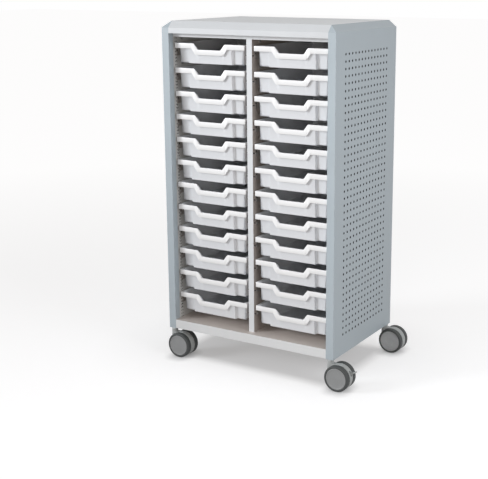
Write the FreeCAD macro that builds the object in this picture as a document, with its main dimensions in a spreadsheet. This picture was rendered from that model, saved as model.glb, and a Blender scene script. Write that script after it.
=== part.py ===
import FreeCAD, Part
import math
import os
import Sketcher
from FreeCAD import Vector

# Mobile tray storage unit: a perforated steel cabinet on four twin-wheel castors,
# with two columns of twelve moulded trays on runners.
# Modelling coordinates: X from the cabinet's centre line (right is +), Y from the plane
# of the front flanges towards the back, Z up from the floor. Each finished sub-part is
# then placed by FRAME_X and FRAME_Y, so that the origin is on the floor under the middle
# of the whole footprint, castors and brake levers included.

doc = FreeCAD.newDocument("tray_storage_unit")
dims = doc.addObject("Spreadsheet::Sheet", "dims")

DRIVING = {
    # cabinet shell
    "width": 732.0,
    "depth": 486.0,
    "height": 1304.0,
    "ground_gap": 110.0,
    "bevel_drop": 25.0,
    "bevel_front": 24.0,
    "wall_depth": 31.0,
    "flange_return": 27.5,
    "rear_return": 14.0,
    "steel": 1.2,
    "fascia": 20.0,
    "nose_return": 14.0,
    "lip_rise": 1.5,
    "lip_height": 35.0,
    "lip_ledge": 4.0,
    "pan_gap": 0.5,
    "panel_bend": 2.0,
    # perforations in the side skins
    "hole_dia": 7.5,
    "hole_pitch": 25.4,
    "hole_columns": 14.0,
    "hole_rows": 41.0,
    "hole_front": 73.0,
    "hole_bottom": 77.3,
    # inner carcass
    "liner_inset": 30.0,
    "liner_front": 28.0,
    "liner_back": 16.0,
    "liner_fold": 10.0,
    "ceiling": 1245.0,
    "head_rail": 28.0,
    "divider": 23.0,
    "fixing_dia": 5.0,
    "fixing_front": 47.0,
    "fixing_back": 60.0,
    "fixing_drop": 55.7,
    "fixing_pair": 12.1,
    "divider_hole_dia": 8.0,
    "divider_hole_front": 72.0,
    "divider_hole_drop": 67.5,
    # trays
    "column_spacing": 348.0,
    "tray_rows": 12.0,
    "tray_pitch": 87.11,
    "end_pitch": 92.0,
    "top_tray": 1222.7,
    "tray_set_back": 27.0,
    "lip_width": 308.2,
    "rim_width": 309.0,
    "rim_length": 427.0,
    "rim_thick": 2.4,
    "tray_height": 74.0,
    "tray_wall": 2.0,
    "tray_corner": 5.0,
    "rim_corner": 2.0,
    "tray_draft": 3.2,
    "body_width": 292.4,
    "foot_width": 271.4,
    "body_length": 400.0,
    "body_set_back": 14.5,
    "bulge": 9.3,
    "bulge_width": 191.8,
    "bulge_slope": 3.5,
    "lip_drop": 18.9,
    "lip_thick": 2.0,
    "lip_end": 0.6,
    "ledge_drop": 7.0,
    "dip": 22.5,
    "dip_top": 135.0,
    "dip_bottom": 102.0,
    "dip_flare": 11.0,
    # runners
    "runner_reach": 13.5,
    "runner_leg": 46.0,
    "runner_front": 44.0,
    "runner_length": 400.0,
    "runner_play": 0.4,
    "screw_head": 7.0,
    "screw_proud": 2.0,
    "screw_front": 50.0,
    "screw_drop": 39.5,
    "back_screw_inset": 10.0,
    "back_screw_end": 30.0,
    "back_screw_count": 5.0,
    # tabs over the tray rims and dark pins beside the tray bodies
    "tab_front": 77.0,
    "tab_wide": 11.0,
    "tab_reach": 8.0,
    "tab_low": 8.5,
    "tab_high": 19.0,
    "pin_dia": 5.0,
    "pin_proud": 5.0,
    "pin_front": 33.0,
    "pin_drop": 35.5,
    "clip_front": 50.0,
    "clip_drop": 29.0,
    "clip_proud": 2.5,
    # castors
    "stem_side": 17.0,
    "stem_end": 13.0,
    "stem_dia": 10.0,
    "stem_top": 142.0,
    "stem_bottom": 62.0,
    "collar_dia": 24.0,
    "collar_thick": 4.0,
    "foot_plate": 3.0,
    "socket_dia": 18.0,
    "socket_short": 2.0,
    "trail": 38.0,
    "wheel_dia": 98.0,
    "castor_width": 68.0,
    "tread": 21.5,
    "tread_round": 4.0,
    "cap_dia": 80.0,
    "cap_recess": 1.5,
    "hub_cap": 3.0,
    "axle_dia": 8.0,
    "running_play": 0.05,
    "axle_short": 0.3,
    "hood_thick": 22.0,
    "hood_dia": 96.0,
    "hood_round": 2.0,
    "hood_flat": 10.0,
    "post_back": 2.0,
    "post_below": 6.0,
    "neck_dia": 24.0,
    "neck_bottom": 84.0,
    "neck_gap": 0.5,
    "rim_hole": 6.0,
    "rim_hole_deep": 8.0,
    "rim_hole_up": 10.0,
    # brake lever on two of the castors
    "lever_reach": 67.5,
    "lever_rise": 30.5,
    "pivot_out": 33.0,
    "pivot_up": 15.0,
    "lever_width": 9.0,
    "lever_thick": 3.5,
    "lever_boss": 8.0,
    "lever_round": 1.0,
    "lever_pin": 4.0,
    "slot_play": 0.4,
    "slot_room": 1.5,
    "slot_above": 13.5,
}


def fill_sheet():
    """One alias per driving dimension, as plain numbers."""
    for row, (alias, value) in enumerate(DRIVING.items(), start=1):
        dims.set(f"A{row}", alias)
        dims.set(f"B{row}", str(value))
        dims.setAlias(f"B{row}", alias)
    doc.recompute()


fill_sheet()

# How far a cutting shape runs past the stock and how near is the same place, in mm,
# and how far from vertical an upright edge may lean, in degrees
OVERSHOOT = 1
NEAR = 0.01
UPRIGHT_WITHIN = 20

# Expressions that several sub-parts share
HALF_WIDTH = "dims.width / 2"
REACH_RIGHT = "(dims.width / 2 - dims.stem_side + dims.trail + dims.lever_reach)"
FRAME_X = f"({HALF_WIDTH} - {REACH_RIGHT}) / 2"
FRAME_Y = "-dims.depth / 2"
BEVEL_START = "(dims.height - dims.bevel_drop)"
WALL_INNER = f"({HALF_WIDTH} - dims.wall_depth)"
LINER_FACE = f"({HALF_WIDTH} - dims.liner_inset)"
RAIL_TOP = "(dims.ceiling + dims.head_rail)"
LIP_LOW = "(dims.ground_gap + dims.lip_rise)"
SHELF_TOP = f"({LIP_LOW} + dims.lip_height)"
STEM_X = f"({HALF_WIDTH} - dims.stem_side)"
AXLE_HEIGHT = "(dims.wheel_dia / 2)"
LINER_END = "(dims.depth - dims.liner_back)"
STEM_ENDS = (("front", "dims.stem_end"), ("rear", "dims.depth - dims.stem_end"))


def value(expression):
    """The number that an expression over the sheet gives."""
    return float(getattr(dims.evalExpression(expression), "Value", dims.evalExpression(expression)))


def place(thing, x="0", y="0", z="0"):
    """Binds an object's position to expressions."""
    for axis, expression in zip("xyz", (x, y, z)):
        thing.setExpression(f"Placement.Base.{axis}", str(expression))
    return thing


def box(name, low, size):
    """A Part::Box from its low corner and its size, both as expressions."""
    thing = doc.addObject("Part::Box", name)
    for key, expression in zip(("Length", "Width", "Height"), size):
        thing.setExpression(key, str(expression))
    return place(thing, *low)


AXES = {
    "z": FreeCAD.Rotation(),
    "x": FreeCAD.Rotation(Vector(0, 1, 0), 90),
    "y": FreeCAD.Rotation(Vector(1, 0, 0), -90),
}


def cylinder(name, diameter, length, base, axis="z"):
    """A Part::Cylinder that starts at base and runs along +axis."""
    thing = doc.addObject("Part::Cylinder", name)
    thing.setExpression("Radius", f"({diameter}) / 2")
    thing.setExpression("Height", str(length))
    thing.Placement = FreeCAD.Placement(Vector(), AXES[axis])
    return place(thing, *base)


# Sketch planes: where the sketch's own x, y and normal point in the model
PLANES = {
    "plan": FreeCAD.Rotation(),
    "front": FreeCAD.Rotation(Vector(1, 0, 0), 90),
    "side": FreeCAD.Rotation(Vector(1, 1, 1), 120),
}
NORMALS = {"plan": Vector(0, 0, 1), "front": Vector(0, 1, 0), "side": Vector(1, 0, 0)}


def outline(name, plane, points):
    """A closed sketch on one of the planes."""
    sketch = doc.addObject("Sketcher::SketchObject", name)
    sketch.Placement = FreeCAD.Placement(Vector(), PLANES[plane])
    return fill(sketch, points)


def fill(sketch, points):
    """Straight edges between corners that are bound to pairs of expressions."""
    corners = [Vector(value(x), value(y), 0) for x, y in points]
    count = len(corners)
    for i in range(count):
        sketch.addGeometry(Part.LineSegment(corners[i], corners[(i + 1) % count]))
    for i in range(count):
        sketch.addConstraint(Sketcher.Constraint("Coincident", i, 2, (i + 1) % count, 1))
    for i, (pair, corner) in enumerate(zip(points, corners)):
        for kind, axis, expression, number in (
            ("DistanceX", -2, pair[0], corner.x),
            ("DistanceY", -1, pair[1], corner.y),
        ):
            if abs(number) < NEAR:
                sketch.addConstraint(Sketcher.Constraint("PointOnObject", i, 1, axis))
                continue
            index = sketch.addConstraint(Sketcher.Constraint(kind, -1, 1, i, 1, number))
            sketch.setExpression(f"Constraints[{index}]", str(expression))
    return sketch


def prism(name, plane, points, start, length, taper=None, downwards=False):
    """An outline extruded along the plane's normal from start, over length."""
    sketch = outline(f"{name}_outline", plane, points)
    shift = {"plan": ("0", "0", start), "front": ("0", start, "0"), "side": (start, "0", "0")}
    place(sketch, *shift[plane])
    thing = doc.addObject("Part::Extrusion", name)
    thing.Base = sketch
    thing.DirMode = "Custom"
    thing.Dir = NORMALS[plane] * (-1 if downwards else 1)
    thing.setExpression("LengthFwd", str(length))
    thing.Solid = True
    if taper:
        thing.setExpression("TaperAngle", taper)
    return thing


def cut(name, base, tool):
    thing = doc.addObject("Part::Cut", name)
    thing.Base = base
    thing.Tool = tool
    return thing


def fuse(name, things):
    thing = doc.addObject("Part::MultiFuse", name)
    thing.Shapes = things
    thing.Refine = True
    return thing


def rounded(name, base, radius, chosen):
    """Rounds the edges of base whose middle point and direction there pass the test."""
    doc.recompute()
    size = value(radius)
    edges = []
    for number, edge in enumerate(base.Shape.Edges, start=1):
        middle = (edge.FirstParameter + edge.LastParameter) / 2
        if chosen(edge.valueAt(middle), edge.tangentAt(middle)):
            edges.append((number, size, size))
    thing = doc.addObject("Part::Fillet", name)
    thing.Base = base
    thing.Edges = edges
    return thing


def group(name, things):
    thing = doc.addObject("Part::Compound", name)
    thing.Links = things
    return thing


def copies(name, thing, offsets):
    """Separate copies of a solid, moved by offsets given as numbers, in one object."""
    made = doc.addObject("Part::Feature", name)
    doc.recompute()
    shapes = []
    for offset in offsets:
        shape = thing.Shape.copy()
        shape.translate(Vector(*offset))
        shapes.append(shape)
    made.Shape = Part.makeCompound(shapes)
    return made


nodes = []


def sub_part(thing, label, x=FRAME_X, y=FRAME_Y, z="0"):
    """Names a finished sub-part and puts it into the part's own frame."""
    thing.Label = label
    nodes.append(place(thing, x, y, z))
    return thing


def signed(side, expression):
    """The expression, mirrored for the left side."""
    return f"{side} * ({expression})"


def rows():
    """Heights of the tray rims, from the top row down."""
    count = int(value("dims.tray_rows"))
    return [value(rim_height(number)) for number in range(1, count + 1)]


def rim_height(number):
    """The height of one tray's rim, as an expression."""
    if number == 1:
        return "dims.top_tray"
    if number == int(value("dims.tray_rows")):
        return "dims.top_tray - 2 * dims.end_pitch - dims.tray_pitch * (dims.tray_rows - 3)"
    return f"dims.top_tray - dims.end_pitch - dims.tray_pitch * {number - 2}"


# ---------------------------------------------------------------- cabinet shell


def side_panel(side, label):
    """A perforated skin with front and rear flanges, their returns and a bevelled top."""
    t = "dims.steel"
    inner = signed(side, WALL_INNER)
    outer = signed(side, HALF_WIDTH)
    skin_in = signed(side, f"{HALF_WIDTH} - {t}")
    return_out = signed(side, f"{WALL_INNER} + {t}")
    section = [
        (inner, "dims.ground_gap"),
        (outer, "dims.ground_gap"),
        (outer, BEVEL_START),
        (inner, "dims.height"),
    ]
    sharp = prism(f"{label}_block", "front", section, "0", "dims.depth")
    block = rounded(f"{label}_bent", sharp, "dims.panel_bend", on_outer_corner)
    cavity_section = [
        (return_out, f"dims.ground_gap - {t}"),
        (skin_in, f"dims.ground_gap - {t}"),
        (skin_in, f"{BEVEL_START} - {t} / 2"),
        (return_out, f"dims.height - 2 * {t}"),
    ]
    cavity = prism(f"{label}_cavity", "front", cavity_section, t, f"dims.depth - 2 * {t}")
    above, before = f"dims.height + {OVERSHOOT}", f"-{OVERSHOOT}"
    front_bevel = [
        (before, BEVEL_START),
        ("0", BEVEL_START),
        ("dims.bevel_front", "dims.height"),
        ("dims.bevel_front", above),
        (before, above),
    ]
    low_x = f"-{HALF_WIDTH}" if side < 0 else WALL_INNER
    bevel_cut = prism(f"{label}_front_bevel", "side", front_bevel, low_x, "dims.wall_depth")
    bevel_roof = [
        (before, f"{BEVEL_START} - 2 * {t}"),
        (t, f"{BEVEL_START} - {t} / 2"),
        ("dims.bevel_front", f"dims.height - 3 * {t} / 2"),
        ("dims.bevel_front", above),
        (before, above),
    ]
    roof_keep = prism(f"{label}_roof", "side", bevel_roof, low_x, "dims.wall_depth")
    hollow = cut(f"{label}_hollow", cavity, roof_keep)
    window_x = f"-{WALL_INNER} - {t}" if side < 0 else inner
    window_deep = "dims.depth - dims.flange_return - dims.rear_return"
    window_tall = f"{RAIL_TOP} + dims.pan_gap - dims.ground_gap + {OVERSHOOT}"
    window_low = f"dims.ground_gap - {OVERSHOOT}"
    window_corner = (window_x, "dims.flange_return", window_low)
    window = box(f"{label}_window", window_corner, (t, window_deep, window_tall))
    bevelled = cut(f"{label}_bevelled", block, bevel_cut)
    folded = cut(f"{label}_folded", bevelled, hollow)
    opened = cut(f"{label}_opened", folded, window)
    panel = cut(f"{label}_panel", opened, perforations(f"{label}_holes", side))
    return sub_part(panel, label)


def on_outer_corner(point, direction):
    """True on the upright and sloping edges of the side wall's outer front and rear corners."""
    at_end = point.y < OVERSHOOT or point.y > value("dims.depth") - OVERSHOOT
    inside = abs(point.x) > value(WALL_INNER) + OVERSHOOT
    return at_end and inside and point.z > value("dims.ground_gap") + OVERSHOOT


def perforations(name, side):
    """The field of round holes through one side skin, as one cutting tool."""
    reach = value("dims.steel") * 4
    face = value(HALF_WIDTH) - reach / 2
    pitch, radius = value("dims.hole_pitch"), value("dims.hole_dia") / 2
    low_y, low_z = value("dims.hole_front"), value("dims.ground_gap + dims.hole_bottom")
    drills = []
    for column in range(int(value("dims.hole_columns"))):
        for row in range(int(value("dims.hole_rows"))):
            base = Vector(side * face, low_y + pitch * column, low_z + pitch * row)
            drills.append(Part.makeCylinder(radius, reach, base, Vector(side, 0, 0)))
    tool = doc.addObject("Part::Feature", name)
    tool.Shape = Part.makeCompound(drills)
    return tool


def top_panel():
    """A folded sheet: rear turn-down, flat top, bevelled nose, fascia and its return."""
    t = "dims.steel"
    fascia_low = f"({BEVEL_START} - dims.fascia)"
    section = [
        ("0", fascia_low),
        ("dims.nose_return", fascia_low),
        ("dims.nose_return", f"{fascia_low} + {t}"),
        (t, f"{fascia_low} + {t}"),
        (t, f"{BEVEL_START} - {t} / 2"),
        (f"dims.bevel_front + {t} / 2", f"dims.height - {t}"),
        (f"dims.depth - {t}", f"dims.height - {t}"),
        (f"dims.depth - {t}", BEVEL_START),
        ("dims.depth", BEVEL_START),
        ("dims.depth", "dims.height"),
        ("dims.bevel_front", "dims.height"),
        ("0", BEVEL_START),
    ]
    sheet = prism("top_sheet", "side", section, f"-{WALL_INNER}", f"2 * {WALL_INNER}")
    return sub_part(sheet, "top_panel")


def head_liner():
    """The ceiling over the trays, with a front rail and a rear turn-up."""
    t = "dims.steel"
    section = [
        ("dims.liner_front", "dims.ceiling"),
        (LINER_END, "dims.ceiling"),
        (LINER_END, RAIL_TOP),
        (f"{LINER_END} - {t}", RAIL_TOP),
        (f"{LINER_END} - {t}", f"dims.ceiling + {t}"),
        (f"dims.liner_front + {t}", f"dims.ceiling + {t}"),
        (f"dims.liner_front + {t}", RAIL_TOP),
        ("dims.liner_front", RAIL_TOP),
    ]
    sheet = prism("head_sheet", "side", section, f"-{LINER_FACE}", f"2 * {LINER_FACE}")
    return sub_part(sheet, "head_liner")


def back_panel():
    """A plain sheet between the rear flanges, with folded long edges."""
    t = "dims.steel"
    half = f"({WALL_INNER} - dims.pan_gap)"
    low = "dims.ground_gap"
    tall = f"{BEVEL_START} - {low} - dims.pan_gap"
    deep = "(dims.liner_back - 2 * dims.pan_gap)"
    sheet = box("back_sheet", (f"-{half}", f"dims.depth - {t}", low), (f"2 * {half}", t, tall))
    folds = [
        box(f"back_fold_{name}", (x, f"dims.depth - {deep}", low), (t, deep, tall))
        for name, x in (("left", f"-{half}"), ("right", f"{half} - {t}"))
    ]
    return sub_part(fuse("back_folded", [sheet, *folds]), "back_panel")


def base_pan():
    """The bottom shelf: a lip between the front flanges and a tray between the liners."""
    t = "dims.steel"
    half_lip = f"({WALL_INNER} - dims.pan_gap / 2)"
    section = [
        ("0", LIP_LOW),
        (t, LIP_LOW),
        (t, f"{SHELF_TOP} - {t}"),
        ("dims.flange_return + dims.lip_ledge", f"{SHELF_TOP} - {t}"),
        ("dims.flange_return + dims.lip_ledge", SHELF_TOP),
        ("0", SHELF_TOP),
    ]
    lip = prism("base_lip", "side", section, f"-{half_lip}", f"2 * {half_lip}")
    front = "(dims.flange_return + dims.pan_gap / 2)"
    shelf = box(
        "base_shelf",
        (f"-{LINER_FACE}", front, f"{SHELF_TOP} - {t}"),
        (f"2 * {LINER_FACE}", f"{LINER_END} - {front}", t),
    )
    turn_down = box(
        "base_turn_down",
        (f"-{half_lip}", f"{LINER_END} - {t}", LIP_LOW),
        (f"2 * {half_lip}", t, "dims.lip_height"),
    )
    return sub_part(fuse("base_folded", [lip, shelf, turn_down]), "base_pan")


# ---------------------------------------------------------------- inner carcass


def fixing_holes(name, start, reach, diameter, depths, drops):
    """Round holes along X, at the given depths and at the given drops under every tray rim."""
    drills = []
    for y in depths:
        for rim in rows():
            for drop in drops:
                base = Vector(start, value(y), rim - value(drop))
                drills.append(Part.makeCylinder(value(diameter) / 2, reach, base, Vector(1, 0, 0)))
    tool = doc.addObject("Part::Feature", name)
    tool.Shape = Part.makeCompound(drills)
    return tool


def liner(side, label):
    """An inner side wall whose front edge is folded out towards the side panel."""
    t = "dims.steel"
    section = [
        (signed(side, LINER_FACE), "dims.liner_front"),
        (signed(side, f"{LINER_FACE} + dims.liner_fold"), "dims.liner_front"),
        (signed(side, f"{LINER_FACE} + dims.liner_fold"), f"dims.liner_front + {t}"),
        (signed(side, f"{LINER_FACE} + {t}"), f"dims.liner_front + {t}"),
        (signed(side, f"{LINER_FACE} + {t}"), LINER_END),
        (signed(side, LINER_FACE), LINER_END),
    ]
    tall = f"{RAIL_TOP} - {SHELF_TOP} + {t}"
    sheet = prism(f"{label}_sheet", "plan", section, f"{SHELF_TOP} - {t}", tall)
    reach = value("dims.steel") * 4
    depths = ("dims.fixing_front", f"{LINER_END} - dims.fixing_back")
    drops = ("dims.fixing_drop", "dims.fixing_drop + dims.fixing_pair")
    start = side * value(LINER_FACE) - reach / 2
    holes = fixing_holes(f"{label}_fixings", start, reach, "dims.fixing_dia", depths, drops)
    return sub_part(cut(f"{label}_drilled", sheet, holes), label)


def centre_divider():
    """A hollow upright between the two columns, closed at the front and open at the back."""
    t = "dims.steel"
    tall = f"dims.ceiling - {SHELF_TOP}"
    block = box(
        "divider_block",
        ("-dims.divider / 2", "dims.liner_front", SHELF_TOP),
        ("dims.divider", f"{LINER_END} - dims.liner_front", tall),
    )
    hollow = box(
        "divider_hollow",
        (f"-dims.divider / 2 + {t}", f"dims.liner_front + {t}", f"{SHELF_TOP} + {t}"),
        (f"dims.divider - 2 * {t}", f"{LINER_END} - dims.liner_front", f"{tall} - 2 * {t}"),
    )
    shell = cut("divider_shell", block, hollow)
    reach = value("dims.divider") * 2
    depths, drops = ("dims.divider_hole_front",), ("dims.divider_hole_drop",)
    holes = fixing_holes("divider_fixings", -reach / 2, reach, "dims.divider_hole_dia", depths, drops)
    return sub_part(cut("divider_drilled", shell, holes), "centre_divider")


def foot_rail(side, label):
    """A plate that closes the bottom of a side wall, with a socket for each castor stem."""
    t = "dims.steel"
    play = "dims.pan_gap / 2"
    wide = f"(dims.wall_depth - 2 * {t} - 2 * {play})"
    low_x = signed(side, f"{HALF_WIDTH} - {t} - {play} - {wide} / 2")
    plate = box(
        f"{label}_plate",
        (f"{low_x} - {wide} / 2", f"{t} + {play}", "dims.ground_gap"),
        (wide, f"dims.depth - 2 * {t} - 2 * {play}", "dims.foot_plate"),
    )
    things, bores = [plate], []
    for end, y in STEM_ENDS:
        base = (signed(side, STEM_X), y, "dims.ground_gap")
        tall = "dims.stem_top - dims.ground_gap"
        socket_tall = f"{tall} - dims.socket_short"
        things.append(cylinder(f"{label}_socket_{end}", "dims.socket_dia", socket_tall, base))
        bores.append(cylinder(f"{label}_bore_{end}", "dims.stem_dia", tall, base))
    solid = fuse(f"{label}_solid", things)
    return sub_part(cut(f"{label}_bored", solid, group(f"{label}_bores", bores)), label)


# ---------------------------------------------------------------- runners

RUNNER_WALLS = (
    ("left_wall_runners", -1, LINER_FACE, 1),
    ("divider_left_runners", -1, "dims.divider / 2", -1),
    ("divider_right_runners", 1, "dims.divider / 2", -1),
    ("right_wall_runners", 1, LINER_FACE, 1),
)


def runners(label, side, face, outwards):
    """Twelve angle rails on one wall: a ledge under the tray flange and a leg on the wall."""
    t = "dims.steel"
    ledge = "(dims.top_tray - dims.rim_thick - dims.runner_play)"
    inward = -outwards
    reach = f"({face}) + {inward} * dims.runner_reach"
    leg = f"({face}) + {inward} * {t}"
    section = [
        (signed(side, face), f"{ledge} - dims.runner_leg"),
        (signed(side, leg), f"{ledge} - dims.runner_leg"),
        (signed(side, leg), f"{ledge} - {t}"),
        (signed(side, reach), f"{ledge} - {t}"),
        (signed(side, reach), ledge),
        (signed(side, face), ledge),
    ]
    rail = prism(f"{label}_rail", "front", section, "dims.runner_front", "dims.runner_length")
    drops = [(0, 0, z - rows()[0]) for z in rows()]
    return sub_part(copies(f"{label}_set", rail, drops), label)


def wall_places():
    """For each wall that carries runners: the face's X and which way it looks."""
    for _, side, face, outwards in RUNNER_WALLS:
        yield side * value(face), -outwards * side


def runner_screws():
    """The screw heads that hold the runners' legs, two on each runner."""
    head, proud, leg = (value(f"dims.{key}") for key in ("screw_head", "screw_proud", "steel"))
    depths = (value("dims.screw_front"), value(f"{LINER_END} - dims.fixing_back"))
    heads = []
    for face, way in wall_places():
        for y in depths:
            for rim in rows():
                base = Vector(face + way * leg, y, rim - value("dims.screw_drop"))
                heads.append(Part.makeCylinder(head / 2, proud, base, Vector(way, 0, 0)))
    return heads


def tip_tabs():
    """Small angle tabs on the walls, each just over a tray's rim, that keep an open tray level."""
    front, wide, reach, low, high, t = (
        value(f"dims.{key}") for key in ("tab_front", "tab_wide", "tab_reach", "tab_low", "tab_high", "steel")
    )
    tabs = []
    for face, way in wall_places():
        for rim in rows():
            low_x = min(face, face + way * t)
            plate = Part.makeBox(t, wide, high - low, Vector(low_x, front, rim + low))
            low_x = min(face, face + way * reach)
            ledge = Part.makeBox(reach, wide, t, Vector(low_x, front, rim + low))
            tabs.append(plate.fuse(ledge).removeSplitter())
    return tabs


def back_screws():
    """Pan-head screws down both edges of the back panel."""
    head, proud = value("dims.screw_head"), value("dims.screw_proud")
    across = value(f"{WALL_INNER} - dims.back_screw_inset")
    low, high = value("dims.ground_gap + dims.back_screw_end"), value(f"{BEVEL_START} - dims.back_screw_end")
    count = int(value("dims.back_screw_count"))
    heads = []
    for x in (-across, across):
        for i in range(count):
            base = Vector(x, value("dims.depth"), low + (high - low) * i / (count - 1))
            heads.append(Part.makeCylinder(head / 2, proud, base, Vector(0, 1, 0)))
    return heads


def steel_fixings():
    """All the small zinc parts on the walls and the back: screw heads and tip tabs."""
    made = doc.addObject("Part::Feature", "fixing_set")
    made.Shape = Part.makeCompound(runner_screws() + tip_tabs() + back_screws())
    return sub_part(made, "steel_fixings")


def stop_pins():
    """Dark pins: one through the divider's faces and one clip on every runner, for each row."""
    radius, leg = value("dims.pin_dia") / 2, value("dims.steel")
    pins = []
    for face, way in wall_places():
        on_divider = abs(face) < value("dims.divider")
        for rim in rows():
            clip = Vector(face + way * leg, value("dims.clip_front"), rim - value("dims.clip_drop"))
            pins.append(Part.makeCylinder(radius, value("dims.clip_proud"), clip, Vector(way, 0, 0)))
            if on_divider:
                pin = Vector(face, value("dims.pin_front"), rim - value("dims.pin_drop"))
                pins.append(Part.makeCylinder(radius, value("dims.pin_proud"), pin, Vector(way, 0, 0)))
    made = doc.addObject("Part::Feature", "pin_set")
    made.Shape = Part.makeCompound(pins)
    return sub_part(made, "stop_pins")


# ---------------------------------------------------------------- trays


def tray_plan(inset):
    """The tray body's plan at the rim with its raised centre panel, moved inwards by inset
    at the front and back. Its sides run wide, and the front outline trims them."""
    half = "(dims.body_width / 2 + dims.bulge)"
    front = f"(dims.body_set_back + {inset})"
    back = f"(dims.body_set_back + dims.body_length - {inset})"
    nose = f"(dims.body_set_back - dims.bulge + {inset})"
    panel = f"(dims.bulge_width / 2 - {inset} / 2)"
    shoulder = f"({panel} + dims.bulge_slope)"
    return [
        (f"-{half}", front),
        (f"-{shoulder}", front),
        (f"-{panel}", nose),
        (panel, nose),
        (shoulder, front),
        (half, front),
        (half, back),
        (f"-{half}", back),
    ]


def tray_side(inset, z):
    """How far out the tray body's side is at height z, moved inwards by inset."""
    lean = "(dims.body_width - dims.foot_width) / 2 / dims.tray_height"
    return f"(dims.body_width / 2 - {inset} + {z} * {lean})"


def tray_block(name, inset, deep):
    """The drafted body from the rim down, moved inwards by inset, with rounded upright corners."""
    length = prism(f"{name}_plan", "plan", tray_plan(inset), "0", deep, "dims.tray_draft * -1", True)
    high, low = f"{OVERSHOOT}", f"(-{deep} - {OVERSHOOT})"
    edges = [
        (f"-{tray_side(inset, high)}", high),
        (f"-{tray_side(inset, low)}", low),
        (tray_side(inset, low), low),
        (tray_side(inset, high), high),
    ]
    width = prism(f"{name}_sides", "front", edges, "0", "dims.rim_length")
    common = doc.addObject("Part::MultiCommon", f"{name}_common")
    common.Shapes = [length, width]
    return rounded(name, common, f"dims.tray_corner - {inset}", on_tray_corner)


def lip_line(drop, flare="0"):
    """The lip's line across X and Z with the handle's dip, lowered by drop and widened by flare."""
    half = "(dims.lip_width / 2 - dims.lip_end)"
    high, low = f"(dims.dip_top / 2 + {flare})", f"(dims.dip_bottom / 2 + {flare})"
    return [
        (f"-{half}", f"-{drop}"),
        (f"-{high}", f"-{drop}"),
        (f"-{low}", f"-{drop} - dims.dip"),
        (low, f"-{drop} - dims.dip"),
        (high, f"-{drop}"),
        (half, f"-{drop}"),
    ]


def ledge_line(drop):
    """The line of the ledge behind the lip, which follows the handle's dip, lowered by drop."""
    half = "(dims.body_width / 2 - dims.tray_corner)"
    low = "(dims.dip_bottom / 2)"
    high = f"({low} + (dims.dip_top - dims.dip_bottom) / 2 * (1 - dims.ledge_drop / dims.dip))"
    return [
        (f"-{half}", f"-dims.ledge_drop - {drop}"),
        (f"-{high}", f"-dims.ledge_drop - {drop}"),
        (f"-{low}", f"-dims.dip - {drop}"),
        (low, f"-dims.dip - {drop}"),
        (high, f"-dims.ledge_drop - {drop}"),
        (half, f"-dims.ledge_drop - {drop}"),
    ]


def upright(direction):
    """True for an edge that runs along Z, give or take a mould's draft."""
    return abs(direction.z) > math.cos(math.radians(UPRIGHT_WITHIN))


def on_tray_corner(point, direction):
    """True on the upright edges at the four corners of a tray's plan."""
    far_out = abs(point.x) > value("dims.foot_width / 2 - dims.tray_corner")
    return upright(direction) and far_out


def on_rim_corner(point, direction):
    """True on the upright edges at the four corners of the rim's plan."""
    at_shoulder = math.isclose(point.y, value("dims.body_set_back"), abs_tol=NEAR)
    return upright(direction) and not at_shoulder


def tray_master():
    """One tray: rim, drafted body, raised panel, front lip with a ledge behind it and handle dip.
    Its own origin is at the front of the lip, on the rim's top."""
    wall = "dims.tray_wall"
    body = tray_block("tray_body", "0", "dims.tray_height")
    cavity = tray_block("tray_cavity", wall, f"(dims.tray_height - {wall})")
    plate = prism(
        "tray_rim_plate",
        "plan",
        [
            ("-dims.lip_width / 2", "0"),
            ("dims.lip_width / 2", "0"),
            ("dims.rim_width / 2", "dims.body_set_back"),
            ("dims.rim_width / 2", "dims.rim_length"),
            ("-dims.rim_width / 2", "dims.rim_length"),
            ("-dims.rim_width / 2", "dims.body_set_back"),
        ],
        "0",
        "dims.rim_thick",
        None,
        True,
    )
    rim = rounded("tray_rim", plate, "dims.rim_corner", on_rim_corner)
    line = ledge_line("0")
    above = [(line[0][0], f"{OVERSHOOT}")] + line + [(line[-1][0], f"{OVERSHOOT}")]
    trough_deep = f"dims.body_set_back + {wall} + 2 * {OVERSHOOT}"
    trough = prism("tray_trough", "front", above, f"-{OVERSHOOT}", trough_deep)
    under = ledge_line("dims.rim_thick")[::-1]
    ledge = prism("tray_ledge", "front", line + under, "0", f"dims.body_set_back + {wall}")
    band = lip_line("0") + lip_line("dims.lip_drop", "dims.dip_flare")[::-1]
    lip = prism("tray_lip", "front", band, "0", "dims.lip_thick")
    solid = fuse("tray_solid", [body, rim])
    troughed = cut("tray_troughed", solid, trough)
    ledged = fuse("tray_ledged", [troughed, ledge])
    open_top = cut("tray_open", ledged, cavity)
    return fuse("tray_master", [open_top, lip])


def trays():
    """Twelve trays in each column, each a sub-part of its own."""
    master = tray_master()
    for column, side in (("left", -1), ("right", 1)):
        for number in range(1, int(value("dims.tray_rows")) + 1):
            tray = group(f"tray_{column}_copy_{number:02d}", [master])
            x = f"{FRAME_X} + {side} * dims.column_spacing / 2"
            y = f"{FRAME_Y} + dims.tray_set_back"
            sub_part(tray, f"tray_{column}_{number:02d}", x, y, rim_height(number))


# ---------------------------------------------------------------- castors
# Each castor is modelled about its own stem, at X 0 and Y 0, trailing towards +X.

CORNERS = [
    (f"{end}_{hand}", f"{side} * {STEM_X}", y)
    for end, y in STEM_ENDS
    for hand, side in (("left", -1), ("right", 1))
]
BRAKED = ("front_right", "rear_left")
PIVOT = ("(dims.trail + dims.pivot_out)", f"({AXLE_HEIGHT} + dims.pivot_up)")
WHEEL_IN = "(dims.castor_width / 2 - dims.tread)"
NECK_TOP = "(dims.ground_gap - dims.collar_thick - dims.neck_gap)"


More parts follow.
